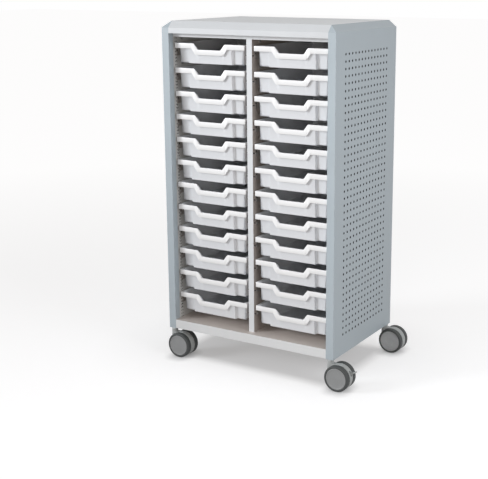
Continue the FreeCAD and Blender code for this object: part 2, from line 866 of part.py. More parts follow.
def at_corner(thing, label, x, y, out="0", across="0", z="0"):
    """A castor's sub-part, moved from its own stem to the cabinet's corner."""
    return sub_part(thing, label, f"{FRAME_X} + {x} + {out}", f"{FRAME_Y} + {y} + {across}", z)


def castor_stems():
    """Four pins with collars under the foot rails."""
    stems = []
    for corner, x, y in CORNERS:
        tall = "dims.stem_top - dims.stem_bottom"
        pin = cylinder(f"stem_pin_{corner}", "dims.stem_dia", tall, (x, y, "dims.stem_bottom"))
        low = "dims.ground_gap - dims.collar_thick"
        collar = cylinder(f"stem_collar_{corner}", "dims.collar_dia", "dims.collar_thick", (x, y, low))
        stems.append(fuse(f"stem_{corner}", [pin, collar]))
    return sub_part(group("stem_set", stems), "castor_stems")


def on_round_edge(point, direction):
    """True on the two circles of a disc that lies across Y."""
    return abs(direction.y) < NEAR


def hood_master(name, braked):
    """The swivelling hood: a disc between the wheels, a post and a neck round the stem."""
    thick, half = "dims.hood_thick", "dims.hood_thick / 2"
    centre = ("dims.trail", f"-{half}", AXLE_HEIGHT)
    coin = cylinder(f"{name}_coin", "dims.hood_dia", thick, centre, "y")
    disc = rounded(f"{name}_disc", coin, "dims.hood_round", on_round_edge)
    low = "(dims.stem_bottom - dims.post_below)"
    post_high = f"dims.neck_bottom - {low}"
    post = cylinder(f"{name}_post", thick, post_high, ("-dims.post_back", "0", low))
    web_high = f"{AXLE_HEIGHT} + dims.hood_dia / 2 - {low} - dims.hood_round"
    web = box(f"{name}_web", ("0", f"-{half}", low), ("dims.trail", thick, web_high))
    neck_tall = f"{NECK_TOP} - dims.neck_bottom"
    neck = cylinder(f"{name}_neck", "dims.neck_dia", neck_tall, ("0", "0", "dims.neck_bottom"))
    solid = fuse(f"{name}_solid", [disc, post, web, neck])
    bore_dia = "dims.stem_dia + 2 * dims.running_play"
    bore_low = f"dims.stem_bottom - {OVERSHOOT}"
    stem_bore = cylinder(f"{name}_stem_bore", bore_dia, "dims.ground_gap", ("0", "0", bore_low))
    axle_bore = cylinder(f"{name}_axle_bore", "dims.axle_dia", thick, centre, "y")
    flat = box(
        f"{name}_flat",
        ("dims.trail - dims.hood_dia / 2", f"-{half}", "0"),
        ("dims.hood_dia", thick, "dims.hood_flat"),
    )
    tools = [stem_bore, axle_bore, flat]
    tools += lever_room(name) if braked else [rim_hole(name)]
    return cut(name, solid, group(f"{name}_tools", tools))


def rim_hole(name):
    """A blind round hole in the hood's rim, where a braked castor has its lever."""
    deep = "dims.rim_hole_deep"
    start = (f"dims.trail + dims.hood_dia / 2 - {deep}", "0", f"{AXLE_HEIGHT} + dims.rim_hole_up")
    return cylinder(f"{name}_rim_hole", "dims.rim_hole", f"2 * {deep}", start, "x")


def lever_room(name):
    """The slot and the cross bore for the brake lever."""
    wide = "(dims.lever_width + 2 * dims.slot_play)"
    behind = "(dims.lever_boss / 2 + dims.slot_room)"
    slot = box(
        f"{name}_slot",
        (f"{PIVOT[0]} - {behind}", f"-{wide} / 2", f"{PIVOT[1]} - {behind}"),
        ("dims.hood_dia", wide, f"{behind} + dims.slot_above"),
    )
    bore = cylinder(
        f"{name}_pin_bore",
        "dims.lever_pin + 2 * dims.running_play",
        "dims.hood_thick",
        (PIVOT[0], "-dims.hood_thick / 2", PIVOT[1]),
        "y",
    )
    return [slot, bore]


def on_lever_edge(point, direction):
    """True on the lever's edges beyond its boss."""
    return point.x > value(f"{PIVOT[0]} + dims.lever_boss")


def lever_master():
    """The brake lever: a boss with trunnions in the hood and a tab for the foot."""
    (px, pz), boss, half = PIVOT, "dims.lever_boss / 2", "dims.lever_thick / 2"
    tip, rise = "(dims.trail + dims.lever_reach)", f"({AXLE_HEIGHT} + dims.lever_rise)"
    section = [
        (f"{px} - {boss}", f"{pz} - {boss}"),
        (f"{px} + {boss}", f"{pz} - {boss}"),
        (tip, f"{rise} - {half}"),
        (tip, f"{rise} + {half}"),
        (f"{px}", f"{pz} + {boss}"),
        (f"{px} - {boss}", f"{pz} + {boss}"),
    ]
    blank = prism("lever_blank", "front", section, "-dims.lever_width / 2", "dims.lever_width")
    arm = rounded("lever_arm", blank, "dims.lever_round", on_lever_edge)
    pin = cylinder(
        "lever_trunnion",
        "dims.lever_pin",
        "dims.hood_thick",
        (px, "-dims.hood_thick / 2", pz),
        "y",
    )
    return fuse("lever_master", [arm, pin])


def wheel_master():
    """A wheel body with its bonded tread, turned round the axle's line.
    Its own origin is the middle of the face towards the hood; +Y points outwards."""
    body = doc.addObject("PartDesign::Body", "wheel_master")
    sketch = body.newObject("Sketcher::SketchObject", "wheel_profile")
    plane = [o for o in body.Origin.OriginFeatures if o.Role == "XY_Plane"][0]
    sketch.AttachmentSupport = [(plane, "")]
    sketch.MapMode = "FlatFace"
    bore = "(dims.axle_dia / 2 + dims.running_play)"
    rim, edge, cap = "dims.wheel_dia / 2", "dims.tread_round", "dims.cap_dia / 2"
    dish = "dims.tread - dims.cap_recess"
    points = [
        ("0", "dims.tread"),
        ("0", "dims.tread - dims.hub_cap"),
        (bore, "dims.tread - dims.hub_cap"),
        (bore, "0"),
        (f"{rim} - {edge}", "0"),
        (rim, edge),
        (rim, f"dims.tread - {edge}"),
        (f"{rim} - {edge}", "dims.tread"),
        (cap, "dims.tread"),
        (f"{cap} - dims.cap_recess", dish),
        (f"{cap} / 2", dish),
    ]
    fill(sketch, points)
    turn = body.newObject("PartDesign::Revolution", "wheel_turn")
    turn.Profile = sketch
    turn.ReferenceAxis = (sketch, ["V_Axis"])
    turn.Angle = 360
    return body


def castors():
    """Hood, axle, wheels and, on two corners, a brake lever."""
    hoods = {braked: hood_master(f"hood_master_{int(braked)}", braked) for braked in (False, True)}
    wheel, lever = wheel_master(), lever_master()
    axle_half = "(dims.castor_width / 2 - dims.hub_cap - dims.axle_short)"
    for corner, x, y in CORNERS:
        hood = group(f"hood_{corner}", [hoods[corner in BRAKED]])
        at_corner(hood, f"castor_hood_{corner}", x, y)
        rod = cylinder(f"axle_{corner}", "dims.axle_dia", f"2 * {axle_half}", ("0", "0", "0"), "y")
        at_corner(rod, f"castor_axle_{corner}", x, y, "dims.trail", f"-{axle_half}", AXLE_HEIGHT)
        for name, sign in (("front", -1), ("back", 1)):
            roll = group(f"wheel_{name}_{corner}", [wheel])
            roll.Placement = FreeCAD.Placement(Vector(), FreeCAD.Rotation(Vector(0, 0, 1), 90 - sign * 90))
            across = f"{sign} * {WHEEL_IN}"
            at_corner(roll, f"castor_wheel_{corner}_{name}", x, y, "dims.trail", across, AXLE_HEIGHT)
        if corner in BRAKED:
            at_corner(group(f"lever_{corner}", [lever]), f"brake_lever_{corner}", x, y)


# ---------------------------------------------------------------- build and export


def build():
    side_panel(-1, "left_side_panel")
    side_panel(1, "right_side_panel")
    top_panel()
    head_liner()
    back_panel()
    base_pan()
    liner(-1, "left_liner")
    liner(1, "right_liner")
    centre_divider()
    foot_rail(-1, "left_foot_rail")
    foot_rail(1, "right_foot_rail")
    for label, side, face, outwards in RUNNER_WALLS:
        runners(label, side, face, outwards)
    steel_fixings()
    stop_pins()
    trays()
    castor_stems()
    castors()


def check():
    """Every object is sound before anything is exported."""
    doc.recompute()
    bad = [o.Name for o in doc.Objects if "Invalid" in o.State or "Error" in o.State]
    if bad:
        raise RuntimeError(f"objects with errors: {bad}")
    for node in nodes:
        if node.Shape.isNull() or not node.Shape.isValid():
            raise RuntimeError(f"bad shape: {node.Label}")
        if not node.Shape.Solids:
            raise RuntimeError(f"no solid in: {node.Label}")


build()
check()
os.makedirs("parts", exist_ok=True)
for node in nodes:
    node.Shape.exportStep(f"parts/{node.Label}.step")
print(len(nodes), "sub-parts exported")
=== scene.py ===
import math

import bmesh
import bpy
import numpy as np
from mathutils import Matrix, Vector


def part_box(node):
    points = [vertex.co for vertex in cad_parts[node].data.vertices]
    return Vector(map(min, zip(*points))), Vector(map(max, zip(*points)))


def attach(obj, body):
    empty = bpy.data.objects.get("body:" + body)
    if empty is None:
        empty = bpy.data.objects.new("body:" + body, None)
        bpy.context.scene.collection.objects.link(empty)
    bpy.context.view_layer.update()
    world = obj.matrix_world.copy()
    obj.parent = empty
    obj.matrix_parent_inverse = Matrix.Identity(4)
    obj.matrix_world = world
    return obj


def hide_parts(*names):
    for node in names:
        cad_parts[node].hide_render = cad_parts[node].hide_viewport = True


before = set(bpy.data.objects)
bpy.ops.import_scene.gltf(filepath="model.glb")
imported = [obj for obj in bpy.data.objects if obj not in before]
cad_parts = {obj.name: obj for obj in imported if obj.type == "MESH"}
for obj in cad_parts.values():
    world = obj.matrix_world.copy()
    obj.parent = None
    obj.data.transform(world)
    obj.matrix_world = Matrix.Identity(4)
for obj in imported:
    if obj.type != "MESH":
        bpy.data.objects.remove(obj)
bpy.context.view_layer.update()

# Mobile tray storage unit: finishes for the steel cabinet, moulded trays and castors.
# Lengths are in metres. Places come from the frame's own boxes.

MM = 0.001

# ---------------------------------------------------------------- places read from the frame

CABINET_LOW, CABINET_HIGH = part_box("left_side_panel")
DIVIDER_LOW, DIVIDER_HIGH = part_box("centre_divider")
CENTRE_X = (DIVIDER_LOW.x + DIVIDER_HIGH.x) / 2
FRONT_Y = CABINET_LOW.y
TRAYS = [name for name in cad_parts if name.startswith("tray_")]
WHEELS = [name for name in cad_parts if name.startswith("castor_wheel_")]


# ---------------------------------------------------------------- meshes

MERGE_DISTANCE = 2e-6


def tidy_mesh(mesh, sharp_degrees):
    """Merges doubles, points the faces outwards and smooths all but the sharp edges."""
    work = bmesh.new()
    work.from_mesh(mesh)
    bmesh.ops.remove_doubles(work, verts=work.verts, dist=MERGE_DISTANCE)
    bmesh.ops.recalc_face_normals(work, faces=work.faces)
    work.to_mesh(mesh)
    work.free()
    mesh.shade_smooth()
    mesh.set_sharp_from_angle(angle=math.radians(sharp_degrees))


def surface(name, points, close_rows=False, cap_first=False, cap_last=False, sharp_degrees=35):
    """A mesh from rows of points: every row is a closed ring, and neighbouring rows are joined.
    Row i, place j is the point points[i, j]; a cap closes the first or last row with one face."""
    rows, places, _ = points.shape
    index = np.arange(rows * places).reshape(rows, places)
    here = index if close_rows else index[:-1]
    above = np.roll(index, -1, axis=0) if close_rows else index[1:]
    quads = np.stack(
        [here, np.roll(here, -1, axis=1), np.roll(above, -1, axis=1), above], axis=-1
    ).reshape(-1, 4)
    faces = quads.tolist()
    if cap_first:
        faces.append(index[0][::-1].tolist())
    if cap_last:
        faces.append(index[-1].tolist())
    mesh = bpy.data.meshes.new(name)
    mesh.from_pydata(points.reshape(-1, 3).tolist(), [], faces)
    tidy_mesh(mesh, sharp_degrees)
    piece = bpy.data.objects.new(name, mesh)
    bpy.context.scene.collection.objects.link(piece)
    return piece


def turned(name, profile, centre, outward, segments=72, close=False, sharp_degrees=30):
    """A turned piece about the Y line through centre.
    The point at turn angle a is (x + r cos a, y + outward * depth, z + r sin a)
    for every (r, depth) in profile."""
    angle = np.linspace(0, 2 * math.pi, segments, endpoint=False)
    radius = np.array([r for r, _ in profile])[:, None]
    depth = np.array([d for _, d in profile])[:, None]
    x = centre[0] + radius * np.cos(angle)
    y = centre[1] + outward * depth + 0 * angle
    z = centre[2] + radius * np.sin(angle)
    return surface(name, np.stack([x, y, z], axis=-1), close, sharp_degrees=sharp_degrees)


def arc(centre_r, centre_d, radius, start, stop, steps=6):
    """Points of an arc in a turned profile: (centre_r + radius cos a, centre_d + radius sin a)."""
    angles = np.radians(np.linspace(start, stop, steps))
    return [(centre_r + radius * math.cos(a), centre_d + radius * math.sin(a)) for a in angles]


# ---------------------------------------------------------------- shader steps and groups

CLOUD_SPAN = (0.35, 0.65)
STREAK_STRETCH = (1.0, 0.02, 1.0)


def ranged(tree, value, low, high, start=0.0, stop=1.0):
    """A value that goes from low to high as the given one goes from start to stop."""
    span = tree.nodes.new("ShaderNodeMapRange")
    numbers = {"From Min": start, "From Max": stop, "To Min": low, "To Max": high}
    for socket, number in numbers.items():
        span.inputs[socket].default_value = number
    tree.links.new(value, span.inputs["Value"])
    return span.outputs["Result"]


def computed(tree, operation, first, second):
    """One step of arithmetic on a value and a second value or number."""
    step = tree.nodes.new("ShaderNodeMath")
    step.operation = operation
    tree.links.new(first, step.inputs[0])
    if isinstance(second, bpy.types.NodeSocket):
        tree.links.new(second, step.inputs[1])
    else:
        step.inputs[1].default_value = second
    return step.outputs["Value"]


def vector_steps(tree, vector, steps):
    """The vector after a run of vector operations, each with a second operand or None."""
    for operation, operand in steps:
        step = tree.nodes.new("ShaderNodeVectorMath")
        step.operation = operation
        tree.links.new(vector, step.inputs[0])
        if isinstance(operand, bpy.types.NodeSocket):
            tree.links.new(operand, step.inputs[1])
        elif operand is not None:
            step.inputs[1].default_value = operand
        vector = step.outputs["Vector"]
    return vector


def vector_length(tree, vector):
    """The length of a vector."""
    length = tree.nodes.new("ShaderNodeVectorMath")
    length.operation = "LENGTH"
    tree.links.new(vector, length.inputs[0])
    return length.outputs["Value"]


def new_group(name, inputs, outputs):
    """A node group with its sockets; returns the group and its two end nodes.
    An input without a default is a vector, and all the others and the outputs are numbers."""
    group = bpy.data.node_groups.new(name, "ShaderNodeTree")
    for label, default in inputs.items():
        kind = "NodeSocketVector" if default is None else "NodeSocketFloat"
        socket = group.interface.new_socket(label, in_out="INPUT", socket_type=kind)
        if default is not None:
            socket.default_value = default
    for label in outputs:
        group.interface.new_socket(label, in_out="OUTPUT", socket_type="NodeSocketFloat")
    return group, group.nodes.new("NodeGroupInput"), group.nodes.new("NodeGroupOutput")


def make_grain_group():
    """Fine grain and slow clouds: Height for a bump, and Cloud as a mask from 0 to 1."""
    sockets = {"Vector": None, "Grain Scale": 900.0, "Cloud Scale": 6.0}
    group, given, result = new_group("grain_and_clouds", sockets, ["Height", "Cloud"])
    grain = group.nodes.new("ShaderNodeTexNoise")
    grain.inputs["Detail"].default_value = 2.0
    cloud = group.nodes.new("ShaderNodeTexNoise")
    cloud.inputs["Detail"].default_value = 4.0
    cloud.inputs["Roughness"].default_value = 0.6
    for texture, scale in ((grain, "Grain Scale"), (cloud, "Cloud Scale")):
        group.links.new(given.outputs["Vector"], texture.inputs["Vector"])
        group.links.new(given.outputs[scale], texture.inputs["Scale"])
    group.links.new(grain.outputs["Fac"], result.inputs["Height"])
    group.links.new(ranged(group, cloud.outputs["Fac"], 0.0, 1.0, *CLOUD_SPAN), result.inputs["Cloud"])
    return group


def make_brush_group():
    """Drawn-metal streaks along Y: Streak is a mask from 0 to 1."""
    group, given, result = new_group("drawn_streaks", {"Vector": None, "Scale": 700.0}, ["Streak"])
    stretch = group.nodes.new("ShaderNodeMapping")
    stretch.inputs["Scale"].default_value = STREAK_STRETCH
    noise = group.nodes.new("ShaderNodeTexNoise")
    noise.inputs["Detail"].default_value = 3.0
    group.links.new(given.outputs["Vector"], stretch.inputs["Vector"])
    group.links.new(stretch.outputs["Vector"], noise.inputs["Vector"])
    group.links.new(given.outputs["Scale"], noise.inputs["Scale"])
    group.links.new(noise.outputs["Fac"], result.inputs["Streak"])
    return group


def make_box_group():
    """How far a place is from a box with the given middle and half size; 0 inside it."""
    sockets = {"Vector": None, "Middle": None, "Half": None}
    group, given, result = new_group("distance_from_box", sockets, ["Distance"])
    steps = (
        ("SUBTRACT", given.outputs["Middle"]),
        ("ABSOLUTE", None),
        ("SUBTRACT", given.outputs["Half"]),
        ("MAXIMUM", (0, 0, 0)),
    )
    outside = vector_steps(group, given.outputs["Vector"], steps)
    group.links.new(vector_length(group, outside), result.inputs["Distance"])
    return group


def make_dots_group():
    """How far a place is from the nearest point of a grid across Y and Z."""
    sockets = {"Vector": None, "First": None, "Pitch": None}
    group, given, result = new_group("distance_from_grid", sockets, ["Distance"])
    steps = (
        ("SUBTRACT", given.outputs["First"]),
        ("DIVIDE", given.outputs["Pitch"]),
        ("ADD", (0.5, 0.5, 0.5)),
        ("FRACTION", None),
        ("SUBTRACT", (0.5, 0.5, 0.5)),
        ("MULTIPLY", given.outputs["Pitch"]),
        ("MULTIPLY", (0, 1, 1)),
    )
    nearest = vector_steps(group, given.outputs["Vector"], steps)
    group.links.new(vector_length(group, nearest), result.inputs["Distance"])
    return group


GRAIN = make_grain_group()
BRUSH = make_brush_group()
BOX = make_box_group()
DOTS = make_dots_group()


# ---------------------------------------------------------------- materials

GLOSS_VARIES = 0.08
BUMP_STRENGTH = 0.5
STREAK_SHADES = (0.82, 1.1)
STREAK_GLOSS = (0.8, 1.2)
BOX_EDGE = 0.1 * MM
BOX_SOFT = 0.2 * MM


def srgb(red, green, blue):
    """Linear colour from display values v of 0 to 255:
    ((v / 255 + 0.055) / 1.055) ** 2.4, or v / 255 / 12.92 where v / 255 is 0.04045 or less."""
    def linear(v):
        share = v / 255
        return share / 12.92 if share <= 0.04045 else ((share + 0.055) / 1.055) ** 2.4
    return (linear(red), linear(green), linear(blue), 1.0)


def shade(colour, factor):
    """The colour, made lighter or darker."""
    return tuple(min(1.0, c * factor) for c in colour[:3]) + (1.0,)


def start_material(name):
    """A new material with object coordinates; returns it with its node tree and principled shader."""
    material = bpy.data.materials.new(name)
    material.use_nodes = True
    tree = material.node_tree
    tree.nodes.new("ShaderNodeTexCoord")
    return material, tree, tree.nodes["Principled BSDF"]


def grouped(tree, group, **sockets):
    """The outputs of a shader group that gets the object's own coordinates and constants."""
    effect = tree.nodes.new("ShaderNodeGroup")
    effect.node_tree = group
    tree.links.new(tree.nodes["Texture Coordinate"].outputs["Object"], effect.inputs["Vector"])
    for name, value in sockets.items():
        effect.inputs[name.replace("_", " ")].default_value = value
    return effect.outputs


def blend_colours(tree, mask, low, high):
    """A colour that goes from low, a colour or a socket, to high as the mask goes from 0 to 1."""
    mix = tree.nodes.new("ShaderNodeMix")
    mix.data_type = "RGBA"
    if isinstance(low, bpy.types.NodeSocket):
        tree.links.new(low, mix.inputs["A"])
    else:
        mix.inputs["A"].default_value = low
    mix.inputs["B"].default_value = high
    tree.links.new(mask, mix.inputs["Factor"])
    return mix.outputs["Result"]


def recolour(tree, mask, colour):
    """Blends another colour over the material's base colour where the mask is 1."""
    socket = tree.nodes["Principled BSDF"].inputs["Base Color"]
    tree.links.new(blend_colours(tree, mask, socket.links[0].from_socket, colour), socket)


def grained(name, colour, rough, grain_scale, grain_depth, cloud=0.03, cloud_scale=6.0):
    """A painted or moulded finish: fine grain in the bump, slow clouds in colour and gloss."""
    material, tree, shader = start_material(name)
    effect = grouped(tree, GRAIN, Grain_Scale=grain_scale, Cloud_Scale=cloud_scale)
    tone = blend_colours(tree, effect["Cloud"], shade(colour, 1 - cloud), shade(colour, 1 + cloud))
    gloss = ranged(tree, effect["Cloud"], rough * (1 - GLOSS_VARIES), rough * (1 + GLOSS_VARIES))
    bump = tree.nodes.new("ShaderNodeBump")
    bump.inputs["Strength"].default_value = BUMP_STRENGTH
    bump.inputs["Distance"].default_value = grain_depth
    tree.links.new(tone, shader.inputs["Base Color"])
    tree.links.new(gloss, shader.inputs["Roughness"])
    tree.links.new(effect["Height"], bump.inputs["Height"])
    tree.links.new(bump.outputs["Normal"], shader.inputs["Normal"])
    return material


def drawn_metal(name, colour, rough):
    """Zinc-plated or drawn steel with streaks along its length."""
    material, tree, shader = start_material(name)
    streak = grouped(tree, BRUSH)["Streak"]
    tone = blend_colours(tree, streak, *(shade(colour, factor) for factor in STREAK_SHADES))
    gloss = ranged(tree, streak, *(rough * factor for factor in STREAK_GLOSS))
    tree.links.new(tone, shader.inputs["Base Color"])
    tree.links.new(gloss, shader.inputs["Roughness"])
    shader.inputs["Metallic"].default_value = 1.0
    return material


def mask_below(tree, distance, edge, soft):
    """1 where the distance is under the edge and 0 above it, with a ramp between."""
    return ranged(tree, distance, 1.0, 0.0, edge, edge + soft)


def from_front(x, y, z):
    """A place given from the middle of the cabinet's front at the floor, in the frame's coordinates."""
    return (CENTRE_X + x, FRONT_Y + y, z)


def inside_box(tree, middle, half):
    """1 inside a box that is given by its middle from the cabinet's front and its half size."""
    distance = grouped(tree, BOX, Middle=from_front(*middle), Half=half)["Distance"]
    return mask_below(tree, distance, BOX_EDGE, BOX_SOFT)


def dots_inside(tree, dots, middle, half):
    """1 on the dots of a grid that lie inside a box.
    The dots are their first place from the cabinet's front, pitch, radius and soft edge."""
    first, pitch, radius, soft = dots
    distance = grouped(tree, DOTS, First=from_front(*first), Pitch=pitch)["Distance"]
    spots = mask_below(tree, distance, radius, soft)
    return computed(tree, "MULTIPLY", spots, inside_box(tree, middle, half))


# Display colours of the finishes
PANEL_COLOUR = srgb(178, 189, 196)
# Painted shade: darker, warm grey for the cabinet's shaded inside: divider sides and back panel
SHADED_INSIDE_COLOUR = srgb(166, 157, 151)
LINER_COLOUR = srgb(203, 203, 201)
# Painted shade: near-black for the shade inside the hollow side walls, behind the liners and in holes
PAINTED_SHADE_COLOUR = srgb(40, 43, 47)
TRAY_COLOUR = srgb(232, 235, 239)
# Painted light: a lighter copy of the tray colour for the lips' front band
PAINTED_LIGHT_LIP_COLOUR = srgb(250, 251, 252)
# Painted shade and painted light: one paint in three tones, darker on the top panel and lighter on the
# divider's front and the base lip
SHADED_CARCASS_COLOUR = srgb(213, 216, 219)
LIT_LIP_SHEET_COLOUR = srgb(226, 228, 229)
LIT_UPRIGHT_COLOUR = srgb(223, 226, 229)
# Painted shade: the shelf floor behind the base lip, darker and warmer than the lip's own paint
SHADED_SHELF_COLOUR = srgb(205, 196, 190)
RUNNER_COLOUR = srgb(158, 152, 148)
SCREW_COLOUR = srgb(206, 207, 206)
STEM_COLOUR = srgb(186, 190, 191)
HOOD_COLOUR = srgb(172, 176, 176)
DISC_COLOUR = srgb(146, 148, 149)
PIN_COLOUR = srgb(52, 52, 53)
TREAD_COLOUR = srgb(66, 69, 69)

POWDER = {"grain_scale": 1100.0, "grain_depth": 0.06 * MM}
MOULDED = {"grain_scale": 1300.0, "cloud": 0.03, "cloud_scale": 30.0}
GLOSSY = {"grain_scale": 1500.0, "grain_depth": 0.04 * MM, "cloud": 0.012, "cloud_scale": 9.0}
RUBBER = {"grain_scale": 900.0, "grain_depth": 0.1 * MM, "cloud": 0.06, "cloud_scale": 40.0}

# Middle and half size of boxes, from the middle of the cabinet's front at the floor; a box that
# spans the whole width is 1 m to each side. The walls' boxes are also used mirrored.
WIDE = 1.0
# The two walls' boxes show where painted shade goes: inside the hollow side panels and on the liners' outer
# sides
WALL_HOLLOW = (355 * MM, 243 * MM, 690 * MM), (10.3 * MM, 238 * MM, 578 * MM)
WALL_SIDE = (358 * MM, 255 * MM, 700 * MM), (21.1 * MM, 224 * MM, 620 * MM)
PUNCHED_FIELD = (0.0, 238.1 * MM, 695.3 * MM), (WIDE, 177 * MM, 520 * MM)
FIXING_STRIP = (0.0, 46 * MM, 700 * MM), (WIDE, 8 * MM, 600 * MM)
# Dots: first place, pitch, radius and soft edge
# Painted shadow: dark dots a little wider than the punched holes, for the shade in and round them
PUNCHED_HOLE_SHADOWS = (0.0, 73 * MM, 187.3 * MM), (1.0, 25.4 * MM, 25.4 * MM), 4.2 * MM, 0.8 * MM
# Painted shadow: small dark dots on the liners that stand in for shaded holes
FIXING_HOLE_SHADOWS = (0.0, 42 * MM, 160 * MM), (1.0, 8 * MM, 12.4 * MM), 1.8 * MM, 0.6 * MM
UPRIGHT_DEPTH = 28.6 * MM
LIP_SHEET_DEPTH = 1.6 * MM
BEHIND_REACH = 300 * MM
MID_HEIGHT = 700 * MM


def paint_shade_on_sides(tree, middle, half):
    """Paints shade over what lies in a box and in its mirror image across the cabinet."""
    x, y, z = middle
    for side in (-1, 1):
        recolour(tree, inside_box(tree, (side * x, y, z), half), PAINTED_SHADE_COLOUR)


def panel_paint():
    """Blue-grey powder coat, with painted shade inside the hollow walls and painted shadow in and round the
    punched holes.
    """
    material = grained("panel_paint", PANEL_COLOUR, 0.42, cloud=0.02, **POWDER)
    tree = material.node_tree
    paint_shade_on_sides(tree, *WALL_HOLLOW)
    recolour(tree, dots_inside(tree, PUNCHED_HOLE_SHADOWS, *PUNCHED_FIELD), PAINTED_SHADE_COLOUR)
    return material


def liner_paint():
    """Light grey with two lines of small painted dark dots near the front, in place of shaded holes, and
    painted shade towards the side walls.
    """
    material = grained("liner_paint", LINER_COLOUR, 0.45, **POWDER)
    tree = material.node_tree
    paint_shade_on_sides(tree, *WALL_SIDE)
    recolour(tree, dots_inside(tree, FIXING_HOLE_SHADOWS, *FIXING_STRIP), PAINTED_SHADE_COLOUR)
    return material


def paint_with_shaded_inside(name, front, inside, depth):
    """One colour on the front, and painted shade from the given depth behind the front flanges: a darker,
    warmer colour there.
    """
    material = grained(name, front, 0.40, cloud=0.02, **POWDER)
    tree = material.node_tree
    behind = (0.0, depth + BEHIND_REACH, MID_HEIGHT)
    recolour(tree, inside_box(tree, behind, (WIDE, BEHIND_REACH, WIDE)), inside)
    return material


def tray_plastic():
    """Smooth off-white plastic with painted light on the lips: the mesh's own lip value blends in a lighter
    copy of the colour there.
    """
    material = grained("tray_plastic", TRAY_COLOUR, 0.30, **GLOSSY)
    tree = material.node_tree
    lip = tree.nodes.new("ShaderNodeAttribute")
    lip.attribute_name = "lip"
    recolour(tree, lip.outputs["Fac"], PAINTED_LIGHT_LIP_COLOUR)
    return material


PANEL_PAINT = panel_paint()
# Painted shade: the top panel's paint is a darker copy of the divider's and base lip's paint
CARCASS_PAINT = grained("carcass_paint", SHADED_CARCASS_COLOUR, 0.40, cloud=0.02, **POWDER)
# Painted shade: the divider's and the base pan's insides and the back panel take darker, warmer greys
DIVIDER_PAINT = paint_with_shaded_inside("divider_paint", LIT_UPRIGHT_COLOUR, SHADED_INSIDE_COLOUR, UPRIGHT_DEPTH)
BASE_PAINT = paint_with_shaded_inside("base_paint", LIT_LIP_SHEET_COLOUR, SHADED_SHELF_COLOUR, LIP_SHEET_DEPTH)
SHADED_INSIDE_PAINT = grained("inside_paint", SHADED_INSIDE_COLOUR, 0.45, **POWDER)
LINER_PAINT = liner_paint()
TRAY_PLASTIC = tray_plastic()
RUNNER_PAINT = grained("runner_paint", RUNNER_COLOUR, 0.40, **POWDER)
SCREW_ZINC = drawn_metal("screw_zinc", SCREW_COLOUR, 0.30)
STEM_ZINC = drawn_metal("stem_zinc", STEM_COLOUR, 0.34)
HOOD_PLASTIC = grained("hood_plastic", HOOD_COLOUR, 0.48, grain_depth=0.08 * MM, **MOULDED)
DISC_PLASTIC = grained("disc_plastic", DISC_COLOUR, 0.46, grain_depth=0.08 * MM, **MOULDED)
PIN_PLASTIC = grained("pin_plastic", PIN_COLOUR, 0.5, grain_depth=0.05 * MM, **MOULDED)
TREAD_RUBBER = grained("tread_rubber", TREAD_COLOUR, 0.62, **RUBBER)


def paint(thing, material):
    """Gives every face of an object one material."""
    thing.data.materials.clear()
    thing.data.materials.append(material)


# ---------------------------------------------------------------- trays

LIP_HALF = 154.1 * MM
LIP_THICK = 2 * MM
RIM_SWELL = 0.4 * MM
RIM_CORNER = 2.5 * MM
RIM_THICK = 2.4 * MM
RIM_LENGTH = 427 * MM
BODY_HALF = 146.2 * MM
BODY_FRONT = 14.5 * MM
BODY_LENGTH = 400 * MM
BODY_CORNER = 5 * MM
BODY_HEIGHT = 74 * MM
WALL = 2 * MM
DRAFT = math.tan(math.radians(3.2))
SIDE_LEAN = 0.14
BULGE_DEEP = 9.3 * MM
BULGE_HALF = 95.1 * MM
BULGE_SLOPE = 3.5 * MM
BULGE_SOFT = 0.7 * MM
LIP_DROP = 18.9 * MM
LEDGE_DROP = 7 * MM
LEDGE_HALF = 138 * MM
LEDGE_SOFT = 1 * MM
DIP = 22.5 * MM
DIP_TOP = 67.5 * MM
DIP_BOTTOM = 51 * MM
DIP_FLARE = 11 * MM
DIP_SOFT = 3 * MM
FOOT_ROUND = 6 * MM
BULGE_FOOT_ROUND = 2 * MM
LIP_ROUND = 1.2 * MM
LIP_FADE = 0.35
LIP_MARGIN = 0.1 * MM
EDGE_ROUND = 0.8 * MM
RIM_ROUND = 0.6 * MM
RIM_TOP_ROUND = 0.5 * MM
RIM_FILLET_UP = 1.6 * MM
RIM_FILLET_OUT = 1.3 * MM
RIM_CLEAR = 0.2 * MM
SMALLEST_CORNER = 1 * MM
FRONT_REACH = 139.5 * MM
FRONT_PLACES = 61
CORNER_PLACES = 6
SIDE_SHARES = (0.012, 0.025, 0.04, 0.08, 0.2, 0.4, 0.6, 0.8, 0.92)
BACK_SHARES = (0.1, 0.3, 0.5, 0.7, 0.9)


def soft_step(distance, half):
    """max(0, distance) with its corner rounded by a parabola that is 2 * half wide:
    0 below -half, (distance + half) ** 2 / (4 half) in between, and distance above half."""
    middle = (distance + half) ** 2 / (4 * half)
    return np.where(distance < -half, 0, np.where(distance > half, distance, middle))


def handle_dip(x, flare):
    """How far the lip's line is lowered at x: a trapezium with rounded corners."""
    slope = DIP / (DIP_TOP - DIP_BOTTOM)
    high = soft_step(DIP_TOP + flare - np.abs(x), DIP_SOFT)
    low = soft_step(DIP_BOTTOM + flare - np.abs(x), DIP_SOFT)
    return slope * (high - low)


def front_bulge(x):
    """How far the body's raised centre panel stands forward at x."""
    slope = BULGE_DEEP / BULGE_SLOPE
    outer = soft_step(BULGE_HALF + BULGE_SLOPE - np.abs(x), BULGE_SOFT)
    inner = soft_step(BULGE_HALF - np.abs(x), BULGE_SOFT)
    return slope * (outer - inner)


